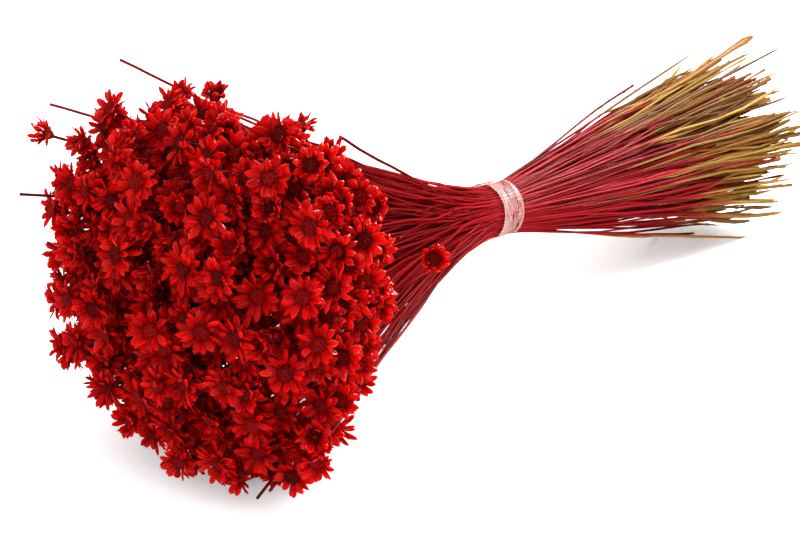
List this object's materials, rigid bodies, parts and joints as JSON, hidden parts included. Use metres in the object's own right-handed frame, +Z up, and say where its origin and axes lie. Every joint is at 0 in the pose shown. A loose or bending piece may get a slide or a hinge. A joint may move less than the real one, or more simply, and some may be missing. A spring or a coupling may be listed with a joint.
{
  "type": "dried flower bunch",
  "caption": "Bunch of small dyed dried star flowers on thin stems, bound at the middle with clear tape and lying on its side, with the cut stem ends fanned out.",
  "frame": {"origin": "on the surface the bunch lies on, under the middle of its length and width", "axes": "+X along the bunch from the flower heads to the cut stem ends, +Y across it, +Z up; it rests on z = 0"},
  "size_m": [0.3754, 0.1434, 0.1154],
  "materials": {
    "dyed_flower": "matte",
    "clear_tape": "gloss"
  },
  "bodies": {
    "root": {"spray_1": "dyed_flower", "spray_2": "dyed_flower", "spray_3": "dyed_flower", "spray_4": "dyed_flower", "spray_5": "dyed_flower", "spray_6": "dyed_flower", "tape_band": "clear_tape"}
  },
  "joints": []
}
